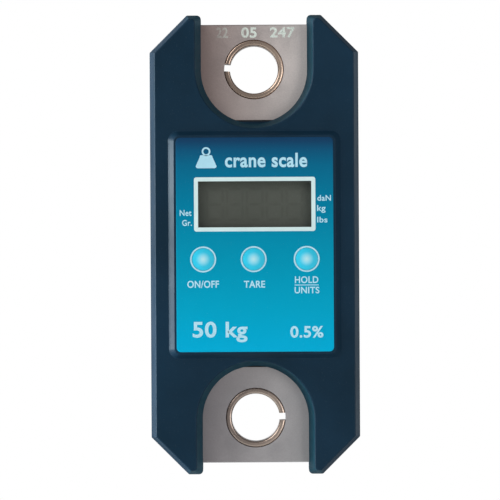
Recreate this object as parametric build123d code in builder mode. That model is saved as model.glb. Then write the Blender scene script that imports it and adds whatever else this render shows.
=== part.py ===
"""Crane scale: a flat metal load cell with an eye at each end, inside a two-part plastic casing.

Millimetres. The scale hangs along Z with its display facing -Y. The origin is the centre of the
top eye's bore, on the mid-plane of the load cell, which is also the parting plane of the casing.
"""

from build123d import *
from math import radians, tan
import os

# ---- casing ----
case_width = 70.0
case_height = 154.0
case_middle = -58.6
corner_cut = 12.5
corner_round = 0.8
case_depth = 13.0
case_draft = 8.2
wall = 2.0
face_round = 0.45
rim_chamfer = 0.25

# ---- U notches that leave the eyes free ----
notch_centres = (-0.3, 2 * case_middle + 0.3)
notch_radius = 17.75
notch_draft = 12.0
notch_wall = 1.8
notch_reach = 30.0
ear_round = 1.4
lip_size = (12.8, 1.25)
lip_drop = 17.45
lip_thickness = 0.8

# ---- load cell: one metal link ----
eye_pitch = 116.5
cell_thickness = 8.0
tab_width = 44.0
tab_end = 15.0
tab_step = 16.9
tab_corner = 3.0
waist_width = 30.0
waist_thickness = 6.0
slot_gap = 4.0
slot_offset = 11.0
slot_stop = 8.0
flexure_bore = 5.0
flexure_spacing = 12.0
slit_width = 3.0
fit_gap = 0.15

# ---- split bushes in the eyes ----
bush_bore = 16.0
bush_outer = 20.0
bush_slot = 2.45
bush_slot_angles = (176.0, 2.0)
bush_chamfer = 0.5
bore_chamfer = 0.3

# ---- raised panel, overlay and window ----
panel_base = (57.4, 75.6)
panel_base_round = 3.2
panel_top = (53.6, 72.6)
panel_top_round = 2.0
panel_front = 14.8
panel_inner_front = 12.6
panel_pocket = (49.6, 68.6)
overlay_size = (52.2, 71.2)
overlay_round = 1.5
overlay_seat = 14.5
overlay_front = 15.0
window_size = (37.4, 15.1)
window_round = 0.5
window_front = 14.85
window_flange = (40.0, 17.6)
window_flange_back = 11.95
window_middle = case_middle + 13.4
window_gap = 0.1

# ---- keys ----
key_places = {"key_on_off": -17.2, "key_tare": -0.45, "key_hold_units": 17.15}
key_height = case_middle - 4.85
key_radius = 3.75
key_gap = 0.1
key_front = 15.35
key_dome_edge = 0.4
key_flange_radius = 5.0
key_flange_front = 12.3
key_flange_back = 11.5
key_stem_radius = 1.6
key_stem_back = 10.45

# ---- display and circuit board ----
board_size = (56.4, 56.0)
board_round = 1.5
board_front = 7.3
board_back = 5.7
switch_size = 6.0
switch_front = 9.3
plunger_radius = 1.7
plunger_front = 9.95
lcd_size = (41.0, 19.0)
lcd_front = 11.75
lcd_back = 8.9
holder_gap = 0.2
holder_wall = 1.8
zebra_size = (38.0, 1.6)
zebra_offset = 8.3

# ---- screws ----
case_screw_x = 27.8
case_screw_heights = (-2.0, -26.5, 2 * case_middle + 26.5, 2 * case_middle + 2.0)
case_boss_radius = 3.0
rear_boss_radius = 3.6
case_screw_radius = 1.2
case_head_radius = 2.3
case_head_height = 1.7
case_head_seat = 10.0
case_screw_tip = 8.0
pilot_gap = 0.05
head_gap = 0.3
board_screw_place = (25.6, 25.2)
board_boss_radius = 2.25
board_screw_radius = 0.9
board_head_radius = 1.8
board_head_height = 1.3
board_screw_tip = 10.5
cell_screw_x = 9.0
cell_screw_height = -25.0
cell_screw_radius = 1.5
cell_head_radius = 2.7
cell_head_height = 1.6
cell_post_radius = 3.4
cell_screw_tip = 9.0

# ---- batteries and their compartment ----
battery_x = 23.4
battery_y = 4.2
battery_radius = 5.2
battery_length = 43.6
nub_radius = 1.9
nub_length = 0.9
well_half_width = 5.6
well_half_length = 25.0
well_floor = -1.6
well_wall = 1.2
plate_thickness = 0.4
plate_size = (8.0, 7.0)
spring_wire = 0.35
spring_radius = 2.6
spring_turns = 3
lead_radius = 0.5
lead_slot = 1.6
lead_bend = 1.0

# ---- battery door, hinged at its upper edge ----
door_half_width = 30.1
door_outer = 13.0
door_thickness = 1.9
door_gap = 0.3
door_axis_y = door_outer - door_thickness / 2
door_axis_z = case_middle + 25.6
door_bottom = case_middle - 26.4
trunnion_radius = 0.8
trunnion_length = 1.6
trunnion_gap = 0.05
grip_ridges = 4
grip_pitch = 1.6
grip_width = 18.0
grip_depth = 0.5

cell_middle = -eye_pitch / 2
cell_front = cell_thickness / 2
tab_room_depth = cell_front + fit_gap
eyes = [(0, 0), (0, -eye_pitch)]
waist_front = waist_thickness / 2
door_inner = door_outer - door_thickness
ledge = door_inner - door_gap
front = Plane.XZ
rear = Plane(origin=(0, 0, 0), x_dir=(-1, 0, 0), z_dir=(0, 1, 0))
spring_length = 2 * (well_half_length - plate_thickness) - battery_length - nub_length


def case_outline(side, inset):
    """Octagonal outline of the casing on its parting plane, moved inwards by inset."""
    with BuildSketch(side) as outline:
        with Locations((0, case_middle)):
            Rectangle(case_width, case_height)
        chamfer(outline.vertices(), corner_cut)
        if inset > 0:
            offset(amount=-inset, kind=Kind.INTERSECTION, mode=Mode.REPLACE)
        fillet(outline.vertices(), corner_round)
    return outline.sketch


def notch_outline(side, centre, growth):
    """U-shaped outline, round towards the casing's middle and open past its end."""
    outwards = 1 if centre > case_middle else -1
    radius = notch_radius + growth
    with BuildSketch(side) as outline:
        with Locations((0, centre)):
            Circle(radius)
        with Locations((0, centre + outwards * notch_reach / 2)):
            Rectangle(2 * radius, notch_reach)
    return outline.sketch


def notch_flare(side, centre, growth):
    """Notch as a solid: straight beside the load cell, then widening towards the casing's face."""
    with BuildPart() as flare:
        extrude(notch_outline(side, centre, growth), amount=tab_room_depth)
        level = side.offset(tab_room_depth)
        rise = case_depth - tab_room_depth
        extrude(notch_outline(level, centre, growth), amount=rise, taper=-notch_draft)
    return flare.part


def mirrored_places(x, heights):
    """Places at plus and minus x at each of the heights."""
    return [(sign * x, height) for height in heights for sign in (-1, 1)]


def is_ear_corner(edge):
    """True for the edges where a notch runs out through the end of the casing."""
    middle = edge.center()
    at_end = abs(middle.Z - case_middle) > case_height / 2 - 2
    return at_end and abs(middle.X) < notch_radius + notch_wall and abs(edge.tangent_at(0.5).Y) > 0.9


def rim_layer(side):
    """Chamfered layer at the parting plane, notched and rounded like the casing above it."""
    with BuildSketch(side) as layer:
        add(case_outline(Plane.XY, rim_chamfer))
        for centre in notch_centres:
            add(notch_outline(Plane.XY, centre, rim_chamfer), mode=Mode.SUBTRACT)
        corners = layer.vertices().filter_by(lambda vertex: abs(vertex.X) < notch_radius + 2 * rim_chamfer)
        fillet(corners.filter_by(lambda vertex: abs(vertex.Y - case_middle) > case_height / 2 - 1), ear_round)
    return layer.sketch


def half_case(side):
    """One tray of the casing, with a walled U notch at each end and room for the cell's tabs."""
    with BuildPart() as cavity:
        extrude(case_outline(side, wall), amount=case_depth - wall, taper=case_draft)
        for centre in notch_centres:
            add(notch_flare(side, centre, notch_wall), mode=Mode.SUBTRACT)
    with BuildPart() as half:
        rim = case_outline(side.offset(rim_chamfer), 0)
        extrude(rim, amount=case_depth - rim_chamfer, taper=case_draft)
        for centre in notch_centres:
            add(notch_flare(side, centre, 0), mode=Mode.SUBTRACT)
        fillet(half.edges().filter_by(is_ear_corner), ear_round)
        faces = half.faces().filter_by(Axis.Y).sort_by(lambda face: abs(face.center().Y))
        fillet(faces[-1].edges(), face_round)
        extrude(rim_layer(side), amount=rim_chamfer, taper=-45)
        add(cavity.part, mode=Mode.SUBTRACT)
        for outwards, eye in zip((1, -1), eyes):
            slot_end = eye[1] + outwards * (tab_end + fit_gap)
            inner_end = eye[1] - outwards * (notch_radius + notch_wall + 2)
            with BuildSketch(side) as tab_room:
                with Locations((0, (slot_end + inner_end) / 2)):
                    Rectangle(tab_width + 2 * fit_gap, abs(slot_end - inner_end))
            extrude(tab_room.sketch, amount=tab_room_depth, mode=Mode.SUBTRACT)
            with BuildSketch(side.offset(tab_room_depth)) as lip:
                with Locations((0, eye[1] - outwards * (lip_drop + lip_size[1] / 2))):
                    Rectangle(*lip_size)
            extrude(lip.sketch, amount=lip_thickness)
    return half.part


def rods(side, places, radius, start, end):
    """Round rods across the casing at the places, between two distances from its parting plane."""
    with BuildPart() as group:
        with BuildSketch(side.offset(start)):
            with Locations(*places):
                Circle(radius)
        extrude(amount=end - start)
    return group.part


def plate(side, size, middle, start, end, rounding=0.0):
    """A plate parallel to the casing's face, between two distances from the parting plane."""
    with BuildPart() as slab:
        with BuildSketch(side.offset(start)) as outline:
            with Locations(middle):
                Rectangle(*size)
            if rounding > 0:
                fillet(outline.vertices(), rounding)
        extrude(amount=end - start)
    return slab.part


def screws(side, places, shank, head, head_height, seat, tip):
    """Pan-head screws with a cross recess. Head and tip are distances along the side's normal."""
    away = 1 if seat > tip else -1
    slot = (head * 1.2, head * 0.28)
    with BuildPart() as group:
        with BuildSketch(side.offset(tip)):
            with Locations(*places):
                Circle(shank)
        extrude(amount=seat - tip)
        with BuildSketch(side.offset(seat)):
            with Locations(*places):
                Circle(head)
        extrude(amount=away * head_height)
        top = side.offset(seat + away * head_height)
        rims = group.edges().filter_by(GeomType.CIRCLE)
        rims = rims.filter_by(lambda edge: abs(edge.radius - head) < fit_gap)
        level = (top.origin - side.origin).Y
        fillet(rims.filter_by(lambda edge: abs(edge.center().Y - level) < fit_gap), head_height * 0.4)
        with BuildSketch(top):
            with Locations(*places):
                Rectangle(*slot)
                Rectangle(slot[1], slot[0])
        extrude(amount=-away * head_height * 0.55, mode=Mode.SUBTRACT)
    return group.part


def wire(points, radius, bend):
    """A round wire along straight runs joined by arcs."""
    with BuildPart() as strand:
        with BuildLine() as path:
            FilletPolyline(*points, radius=bend)
        with BuildSketch(Plane(origin=path.line @ 0, z_dir=path.line % 0)):
            Circle(radius)
        sweep(path=path.line)
    return strand.part


def save(part, name):
    """Label a finished piece and write it under its own name."""
    part.label = name
    export_step(part, f"parts/{name}.step")


os.makedirs("parts", exist_ok=True)

case_screw_places = mirrored_places(case_screw_x, case_screw_heights)
board_screw_heights = [case_middle + board_screw_place[1], case_middle - board_screw_place[1]]
board_screw_places = mirrored_places(board_screw_place[0], board_screw_heights)
key_centres = [(x, key_height) for x in key_places.values()]

# ---- front cover: tray, raised panel, window, key holes and bosses ----
with BuildPart() as front_cover:
    add(half_case(front))
    with BuildSketch(front.offset(case_depth - wall / 2)):
        with Locations((0, case_middle)):
            RectangleRounded(*panel_base, panel_base_round)
    extrude(amount=wall / 2)
    with BuildSketch(front.offset(case_depth)):
        with Locations((0, case_middle)):
            RectangleRounded(*panel_base, panel_base_round)
    with BuildSketch(front.offset(panel_front)):
        with Locations((0, case_middle)):
            RectangleRounded(*panel_top, panel_top_round)
    loft()
    panel_edge = front_cover.faces().filter_by(Axis.Y).sort_by(Axis.Y)[0].edges()
    fillet(panel_edge, 0.3)
    pocket_start = case_depth - 2 * wall
    inner_room = plate(front, panel_pocket, (0, case_middle), pocket_start, panel_inner_front, 1.0)
    add(inner_room, mode=Mode.SUBTRACT)
    seat_room = (overlay_size[0] + window_gap, overlay_size[1] + window_gap)
    seat = plate(front, seat_room, (0, case_middle), overlay_seat, overlay_front, overlay_round)
    add(seat, mode=Mode.SUBTRACT)
    add(rods(front, case_screw_places, case_boss_radius, 0, case_depth - wall / 2))
    board_bosses = rods(front, board_screw_places, board_boss_radius, board_front, case_depth - wall / 2)
    add(board_bosses)
    pilot = case_screw_radius + pilot_gap
    add(rods(front, case_screw_places, pilot, 0, case_screw_tip + 1), mode=Mode.SUBTRACT)
    pilot = board_screw_radius + pilot_gap
    add(rods(front, board_screw_places, pilot, board_front, board_screw_tip + 0.5), mode=Mode.SUBTRACT)
    opening = (window_size[0] + 2 * window_gap, window_size[1] + 2 * window_gap)
    window_hole = plate(front, opening, (0, window_middle), pocket_start, overlay_front, window_round)
    add(window_hole, mode=Mode.SUBTRACT)
    key_holes = rods(front, key_centres, key_radius + key_gap, pocket_start, overlay_front)
    add(key_holes, mode=Mode.SUBTRACT)
save(front_cover.part, "front_cover")

# ---- rear cover: tray, battery wells, door recess, bosses and posts for the cell ----
well_outer = well_half_width + well_wall
well_blocks = []
well_rooms = []
for sign in (-1, 1):
    centre = (sign * battery_x, case_middle)
    block_size = (2 * well_outer, 2 * (well_half_length + well_wall))
    room_size = (2 * well_half_width, 2 * well_half_length)
    well_blocks.append(plate(rear, block_size, centre, well_floor - well_wall, ledge))
    well_rooms.append(plate(rear, room_size, centre, well_floor, door_outer))
recess_top = door_axis_z + door_thickness / 2 + door_gap
recess_bottom = door_bottom - door_gap
recess_size = (2 * (door_half_width + door_gap), recess_top - recess_bottom)
recess_middle = (0, (recess_top + recess_bottom) / 2)
bridge_size = (2 * (battery_x - well_half_width), 2 * (well_half_length + well_wall))
frame_size = (recess_size[0] + 2 * well_wall, recess_size[1] + 2 * well_wall)
cell_posts = mirrored_places(cell_screw_x, (cell_screw_height, 2 * cell_middle - cell_screw_height))
lead_heights = (case_middle + well_half_length, case_middle - well_half_length)
with BuildPart() as rear_cover:
    add(half_case(rear))
    add(plate(rear, frame_size, recess_middle, ledge - well_wall, case_depth - wall / 2))
    for block in well_blocks:
        add(block)
    add(rods(rear, case_screw_places, rear_boss_radius, 0, case_depth - wall / 2))
    add(rods(rear, cell_posts, cell_post_radius, waist_front + fit_gap, case_depth - wall / 2))
    add(plate(rear, recess_size, recess_middle, ledge, case_depth + 1), mode=Mode.SUBTRACT)
    for room in well_rooms:
        add(room, mode=Mode.SUBTRACT)
    for side in (-1, 1):
        for height in lead_heights:
            with BuildSketch(rear.offset(battery_y - lead_slot / 2)) as slot:
                with Locations((side * battery_x, height)):
                    Rectangle(lead_slot, 3 * well_wall)
            extrude(slot.sketch, amount=lead_slot, mode=Mode.SUBTRACT)
    shank_room = case_screw_radius + 2 * pilot_gap
    add(rods(rear, case_screw_places, shank_room, 0, case_depth), mode=Mode.SUBTRACT)
    head_room = case_head_radius + head_gap
    add(rods(rear, case_screw_places, head_room, case_head_seat, case_depth), mode=Mode.SUBTRACT)
    cell_screw_places = mirrored_places(cell_screw_x, (cell_screw_height,))
    post_pilot = rods(rear, cell_screw_places, cell_screw_radius + pilot_gap, 0, cell_screw_tip + 1)
    add(post_pilot, mode=Mode.SUBTRACT)
    for sign in (-1, 1):
        pivot_face = Plane(origin=(sign * door_half_width, door_axis_y, door_axis_z), z_dir=(sign, 0, 0))
        with BuildSketch(pivot_face) as pivot:
            Circle(trunnion_radius + trunnion_gap)
        extrude(pivot.sketch, amount=trunnion_length + door_gap, mode=Mode.SUBTRACT)
save(rear_cover.part, "rear_cover")

# ---- battery door: plate with a round upper edge, two trunnions and a ribbed thumb grip ----
door_height = door_axis_z - door_bottom
with BuildPart() as battery_door:
    door_middle = (0, (door_axis_z + door_bottom) / 2)
    add(plate(rear, (2 * door_half_width, door_height), door_middle, door_inner, door_outer))
    lower_edge = battery_door.faces().sort_by(Axis.Z)[0].edges().filter_by(Axis.X)
    fillet(lower_edge, 0.4)
    with BuildSketch(Plane(origin=(-door_half_width, door_axis_y, door_axis_z), z_dir=(1, 0, 0))):
        Circle(door_thickness / 2)
    extrude(amount=2 * door_half_width)
    reach = door_half_width + trunnion_length
    with BuildSketch(Plane(origin=(-reach, door_axis_y, door_axis_z), z_dir=(1, 0, 0))):
        Circle(trunnion_radius)
    extrude(amount=2 * reach)
    for ridge in range(grip_ridges):
        height = door_bottom + 3 + ridge * grip_pitch
        with BuildSketch(rear.offset(door_outer - grip_depth)) as groove:
            with Locations((0, height)):
                SlotOverall(grip_width - 2 * ridge, grip_pitch / 2)
        extrude(groove.sketch, amount=grip_depth, mode=Mode.SUBTRACT)
save(battery_door.part, "battery_door")

# ---- load cell: tabs with the eyes, thinner waist, S-shaped flexure in the middle ----
tab_length = tab_end + tab_step
with BuildPart() as load_cell:
    with BuildSketch(front.offset(-cell_front)):
        for outwards, eye in zip((1, -1), eyes):
            with Locations((0, eye[1] + outwards * (tab_end - tab_length / 2))):
                Rectangle(tab_width, tab_length)
    extrude(amount=cell_thickness)
    chamfer(load_cell.edges().filter_by(Axis.Y), tab_corner)
    waist_length = eye_pitch - tab_step
    add(plate(front, (waist_width, waist_length), (0, cell_middle), -waist_front, waist_front))
    for direction in (-1, 1):
        slot_width = waist_width / 2 + slot_stop
        with BuildSketch(front.offset(-waist_front)) as slot:
            with Locations((-direction * (waist_width - slot_width + 1) / 2, cell_middle + direction * slot_offset)):
                Rectangle(slot_width + 1, slot_gap)
        extrude(slot.sketch, amount=waist_thickness, mode=Mode.SUBTRACT)
    with BuildSketch(front.offset(-waist_front)) as flexure:
        with Locations((-flexure_spacing / 2, cell_middle), (flexure_spacing / 2, cell_middle)):
            Circle(flexure_bore)
        with Locations((0, cell_middle)):
            Rectangle(flexure_spacing, slit_width)
    extrude(flexure.sketch, amount=waist_thickness, mode=Mode.SUBTRACT)
    eye_edges = front.offset(-cell_front)
    with BuildSketch(eye_edges) as bores:
        with Locations(*eyes):
            Circle(bush_outer / 2)
    extrude(bores.sketch, amount=cell_thickness, mode=Mode.SUBTRACT)
    screw_holes = rods(front, cell_screw_places, cell_screw_radius + pilot_gap, -waist_front, waist_front)
    add(screw_holes, mode=Mode.SUBTRACT)
    faces = load_cell.faces().filter_by(Axis.Z).sort_by(Axis.Z)
    chamfer([faces[0].edges().filter_by(Axis.X), faces[-1].edges().filter_by(Axis.X)], 0.3)
save(load_cell.part, "load_cell")

# ---- split bushes: rolled steel sleeves, slot to the left on top and to the right below ----
for name, eye, slot_angle in zip(("top_bush", "bottom_bush"), eyes, bush_slot_angles):
    with BuildPart() as bush:
        with BuildSketch(front.offset(-cell_front)):
            with Locations(eye):
                Circle(bush_outer / 2)
                Circle(bush_bore / 2, mode=Mode.SUBTRACT)
        extrude(amount=cell_thickness)
        rings = bush.edges().filter_by(GeomType.CIRCLE).sort_by(lambda edge: edge.radius)
        chamfer(rings[-2:], bush_chamfer)
        chamfer(rings[:2], bore_chamfer)
        with BuildSketch(front.offset(-cell_front)) as slot:
            with Locations(eye):
                with PolarLocations(bush_outer / 2, 1, start_angle=slot_angle):
                    Rectangle(bush_outer, bush_slot)
        extrude(slot.sketch, amount=cell_thickness, mode=Mode.SUBTRACT)
    save(bush.part, name)

# ---- strain gauges on the flexures, the silicone over them, and foam at the waist's ends ----
gauge_size = (3.6, 0.3)
gauge_places = []
for direction in (-1, 1):
    bar_face = cell_middle + direction * (slot_offset - slot_gap / 2 + gauge_size[1] / 2)
    gauge_places += [(-flexure_spacing / 2, bar_face), (flexure_spacing / 2, bar_face)]
with BuildPart() as strain_gauges:
    with BuildSketch(front.offset(-waist_front + 1)):
        with Locations(*gauge_places):
            Rectangle(*gauge_size)
    extrude(amount=waist_thickness - 2)
save(strain_gauges.part, "strain_gauges")

with BuildPart() as gauge_sealant:
    with BuildSketch(front.offset(-waist_front)):
        for direction in (-1, 1):
            with Locations((0, cell_middle + direction * slot_offset)):
                Rectangle(2 * slot_stop, slot_gap)
    extrude(amount=waist_thickness)
    add(strain_gauges.part, mode=Mode.SUBTRACT)
save(gauge_sealant.part, "gauge_sealant")

seal_height = 3.6
with BuildPart() as cell_seals:
    for outwards, eye in zip((1, -1), eyes):
        middle = (0, eye[1] - outwards * (tab_step + seal_height / 2))
        depth = cell_front - 0.1
        add(plate(front, (waist_width + 2.4, seal_height), middle, -depth, depth))
        room = plate(front, (waist_width, seal_height + 1), middle, -waist_front, waist_front)
        add(room, mode=Mode.SUBTRACT)
save(cell_seals.part, "cell_seals")

# ---- circuit board with its parts ----
with BuildPart() as main_board:
    add(plate(front, board_size, (0, case_middle), board_back, board_front, board_round))
    board_holes = rods(front, board_screw_places, board_screw_radius + 2 * pilot_gap, board_back, board_front)
    add(board_holes, mode=Mode.SUBTRACT)
save(main_board.part, "main_board")

with BuildPart() as key_switches:
    with BuildSketch(front.offset(board_front)) as bodies:
        with Locations(*key_centres):
            RectangleRounded(switch_size, switch_size, 0.4)
    extrude(amount=switch_front - board_front)
    with BuildSketch(front.offset(switch_front)):
        with Locations(*key_centres):
            Circle(plunger_radius)
    extrude(amount=plunger_front - switch_front)
save(key_switches.part, "key_switches")

with BuildPart() as lcd_holder:
    inner = (lcd_size[0] + 2 * holder_gap, lcd_size[1] + 2 * holder_gap)
    outer = (inner[0] + 2 * holder_wall, inner[1] + 2 * holder_wall)
    add(plate(front, outer, (0, window_middle), board_front, lcd_front, 1.0))
    add(plate(front, inner, (0, window_middle), board_front, lcd_front), mode=Mode.SUBTRACT)
save(lcd_holder.part, "lcd_holder")

with BuildPart() as zebra_strips:
    with BuildSketch(front.offset(board_front)):
        with Locations((0, window_middle - zebra_offset), (0, window_middle + zebra_offset)):
            Rectangle(*zebra_size)
    extrude(amount=lcd_back - board_front)
save(zebra_strips.part, "zebra_strips")

lcd_glass = plate(front, lcd_size, (0, window_middle), lcd_back, lcd_front, 0.3)
save(lcd_glass, "lcd_glass")

chip_height = 1.4
leg_size = (0.9, 0.35)
leg_pitch = 1.1


def chip(middle, size, legs):
    """A flat package under the board with a row of legs on its left and right side."""
    with BuildPart() as package:
        add(plate(front, (size, size), middle, board_back - chip_height, board_back - 0.15, 0.2))
        with BuildSketch(front.offset(board_back - 0.5)):
            for number in range(legs):
                height = middle[1] + (number - (legs - 1) / 2) * leg_pitch
                with Locations((middle[0] - size / 2, height), (middle[0] + size / 2, height)):
                    Rectangle(2 * leg_size[0], leg_size[1])
        extrude(amount=0.5)
    return package.part


save(chip((-9.0, case_middle - 12.0), 10.0, 8), "microcontroller")
save(chip((8.0, case_middle - 2.0), 6.0, 4), "converter_chip")
save(plate(front, (5.0, 3.2), (4.0, case_middle - 14.0), board_back - 1.1, board_back, 0.5), "crystal")

capacitor_places = [(sign * x, case_middle + z) for sign in (-1, 1) for x, z in ((3.0, -21.5), (8.0, 6.5))]
with BuildPart() as capacitors:
    with BuildSketch(front.offset(board_back - 1.2)):
        with Locations(*capacitor_places):
            Rectangle(2.6, 1.6)
    extrude(amount=1.2)
    fillet(capacitors.edges().filter_by(Axis.Z), 0.2)
save(capacitors.part, "capacitors")

plug_size = (8.0, 5.0)
plug_height = 2.2
plug_middle = case_middle + 20.0
lead_level = board_back - plug_height / 2
with BuildPart() as gauge_connector:
    add(plate(front, plug_size, (0, plug_middle), board_back - plug_height, board_back, 0.4))
    mouth = Plane(origin=(0, -lead_level, plug_middle - plug_size[1] / 2), z_dir=(0, 0, 1))
    with BuildSketch(mouth) as socket:
        Rectangle(6.4, 1.4)
    extrude(socket.sketch, amount=2.0, mode=Mode.SUBTRACT)
save(gauge_connector.part, "gauge_connector")

gauge_lead_radius = 0.35
gauge_lead_bend = 0.9
with BuildPart() as gauge_wires:
    plug_depth = plug_middle - plug_size[1] / 2 + 1.9
    entry_height = cell_middle + slot_offset
    for number in range(4):
        x = number * 1.2 - 1.8
        route = [(x, -lead_level, plug_depth), (x, -lead_level, entry_height), (x, -waist_front, entry_height)]
        add(wire(route, gauge_lead_radius, gauge_lead_bend))
save(gauge_wires.part, "gauge_wires")

# ---- window, overlay and keys ----
with BuildPart() as lcd_window:
    add(plate(front, window_flange, (0, window_middle), window_flange_back, panel_inner_front, 0.5))
    add(plate(front, window_size, (0, window_middle), panel_inner_front, window_front, window_round))
save(lcd_window.part, "lcd_window")

with BuildPart() as faceplate:
    add(plate(front, overlay_size, (0, case_middle), overlay_seat, overlay_front, overlay_round))
    add(plate(front, opening, (0, window_middle), overlay_seat, overlay_front, window_round), mode=Mode.SUBTRACT)
    holes = rods(front, key_centres, key_radius + key_gap, overlay_seat, overlay_front)
    add(holes, mode=Mode.SUBTRACT)
save(faceplate.part, "faceplate")

for name, x in key_places.items():
    with BuildPart() as key:
        with BuildSketch(Plane.XY.offset(key_height)) as profile:
            with BuildLine() as outline:
                Polyline(
                    (x, -key_stem_back),
                    (x + key_stem_radius, -key_stem_back),
                    (x + key_stem_radius, -key_flange_back),
                    (x + key_flange_radius, -key_flange_back),
                    (x + key_flange_radius, -key_flange_front),
                    (x + key_radius, -key_flange_front),
                    (x + key_radius, -key_front + key_dome_edge),
                )
                TangentArc((x, -key_front), (x + key_radius, -key_front + key_dome_edge), tangent=(1, 0))
                Line((x, -key_front), (x, -key_stem_back))
            make_face()
        revolve(axis=Axis((x, 0, key_height), (0, 1, 0)))
    save(key.part, name)

# ---- batteries, contacts and leads ----
for name, sign in (("battery_left", -1), ("battery_right", 1)):
    nub_up = -sign
    contact = case_middle + nub_up * (well_half_length - plate_thickness)
    with BuildPart() as battery:
        with BuildSketch(Plane(origin=(sign * battery_x, battery_y, contact), z_dir=(0, 0, -nub_up))):
            Circle(nub_radius)
        extrude(amount=nub_length)
        base = contact - nub_up * nub_length
        with BuildSketch(Plane(origin=(sign * battery_x, battery_y, base), z_dir=(0, 0, -nub_up))):
            Circle(battery_radius)
        extrude(amount=battery_length)
        rims = battery.edges().filter_by(GeomType.CIRCLE)
        fillet(rims.filter_by(lambda edge: edge.radius > battery_radius - fit_gap), 0.5)
    save(battery.part, name)

with BuildPart() as contact_plates:
    for direction in (-1, 1):
        end = case_middle + direction * well_half_length
        with BuildSketch(Plane(origin=(0, battery_y, end), z_dir=(0, 0, -direction))):
            with Locations((battery_x, 0), (-battery_x, 0)):
                Rectangle(*plate_size)
        extrude(amount=plate_thickness)
save(contact_plates.part, "contact_plates")

with BuildPart() as contact_springs:
    for sign in (-1, 1):
        coil_height = spring_length - 2 * spring_wire - 2 * pilot_gap
        start = case_middle + sign * (well_half_length - plate_thickness)
        low = min(start, start - sign * spring_length) + spring_wire + pilot_gap
        with BuildLine() as coil:
            Helix(coil_height / spring_turns, coil_height, spring_radius, (sign * battery_x, battery_y, low))
        with BuildSketch(Plane(origin=coil.line @ 0, z_dir=coil.line % 0)):
            Circle(spring_wire)
        sweep(path=coil.line, is_frenet=True)
save(contact_springs.part, "contact_springs")

with BuildPart() as battery_leads:
    bend_height = case_middle + well_half_length + well_wall + 1.2
    for sign in (-1, 1):
        x = sign * battery_x
        top = case_middle + well_half_length
        route = [(x, battery_y, top), (x, battery_y, bend_height), (x, -board_back, bend_height)]
        add(wire(route, lead_radius, lead_bend))
save(battery_leads.part, "battery_leads")

link_height = case_middle - well_half_length
link_drop = link_height - well_wall - 1.2
link_route = [
    (-battery_x, battery_y, link_height),
    (-battery_x, battery_y, link_drop),
    (battery_x, battery_y, link_drop),
    (battery_x, battery_y, link_height),
]
save(wire(link_route, lead_radius, lead_bend), "link_wire")

# ---- screws ----
case_screws = screws(
    rear, case_screw_places, case_screw_radius, case_head_radius, case_head_height, case_head_seat, -case_screw_tip
)
save(case_screws, "case_screws")
board_screws = screws(
    front, board_screw_places, board_screw_radius, board_head_radius, board_head_height, board_back, board_screw_tip
)
save(board_screws, "board_screws")
cell_screws = screws(
    front, cell_screw_places, cell_screw_radius, cell_head_radius, cell_head_height, waist_front, -cell_screw_tip
)
save(cell_screws, "cell_screws")
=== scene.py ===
# %% [markdown]
# # A pocket crane scale
# The scale is a flat steel link with an eye at each end, carried in a two-part navy plastic case
# with a printed face. The engineering model already holds every part at its size and place, so this
# lesson loads it first, dresses its parts with materials, and models by hand what printing and rolling
# would add.

# %% Load the model
import math
import bpy
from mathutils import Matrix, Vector


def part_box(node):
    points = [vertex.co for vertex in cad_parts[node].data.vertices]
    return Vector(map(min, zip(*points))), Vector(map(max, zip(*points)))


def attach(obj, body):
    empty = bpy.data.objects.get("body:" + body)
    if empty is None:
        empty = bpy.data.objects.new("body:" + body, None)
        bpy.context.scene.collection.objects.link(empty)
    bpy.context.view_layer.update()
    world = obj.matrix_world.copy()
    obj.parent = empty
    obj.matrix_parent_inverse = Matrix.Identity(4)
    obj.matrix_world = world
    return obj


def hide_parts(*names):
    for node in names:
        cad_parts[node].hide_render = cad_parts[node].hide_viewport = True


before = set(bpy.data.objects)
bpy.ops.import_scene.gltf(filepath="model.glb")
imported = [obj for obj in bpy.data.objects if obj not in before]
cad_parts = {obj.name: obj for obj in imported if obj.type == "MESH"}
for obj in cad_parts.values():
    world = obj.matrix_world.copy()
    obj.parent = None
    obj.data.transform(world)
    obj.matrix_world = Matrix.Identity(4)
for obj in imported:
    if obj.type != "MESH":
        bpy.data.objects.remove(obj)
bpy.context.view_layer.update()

MM = 0.001

# %% [markdown]
# Everything is measured from the model itself: the printed film gives the height of the print, the
# eyes give the load line, and the keys give the places of their printed rings. Lengths are metres.

# %% Measure the parts that the new pieces sit on
film_low, film_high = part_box("faceplate")
film_middle = (film_low + film_high) / 2
print_y = film_low.y
window_low, window_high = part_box("lcd_window")
window_middle = (window_low + window_high) / 2
glass_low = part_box("lcd_glass")[0]
cell_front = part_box("load_cell")[0].y
case_low, case_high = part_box("front_cover")
case_middle = (case_low + case_high) / 2
key_bodies = {"key_on_off": "on_off", "key_tare": "tare", "key_hold_units": "hold_units"}
key_centres = {}
for node in key_bodies:
    low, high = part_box(node)
    key_centres[node] = (low + high) / 2
eye_centres = {}
for node in ("top_bush", "bottom_bush"):
    low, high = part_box(node)
    eye_centres[node] = Vector((0, 0, (low.z + high.z) / 2))
print("film from", film_low, "to", film_high, "with its face at", print_y)

# %% [markdown]
# Colours are easier to judge as the 0 to 255 numbers of a colour chart, but a renderer works with
# linear light, so one small function converts them.

# %% Colour helper


def chart(red, green, blue):
    """A colour chart's 0 to 255 values as linear light, with full alpha."""
    def linear(value):
        share = value / 255
        return share / 12.92 if share <= 0.04045 else ((share + 0.055) / 1.055) ** 2.4
    return (linear(red), linear(green), linear(blue), 1.0)


# %% [markdown]
# ## Shared finishes
# Moulded grain, edge rubbing with its painted edge sheen, brushing lines and handling marks turn up on
# several materials, so each is a node group with named inputs. A group only puts out masks and heights. The
# shader stays in the material, where its Bump node turns the height into a normal.

# %% Node group helpers


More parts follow.
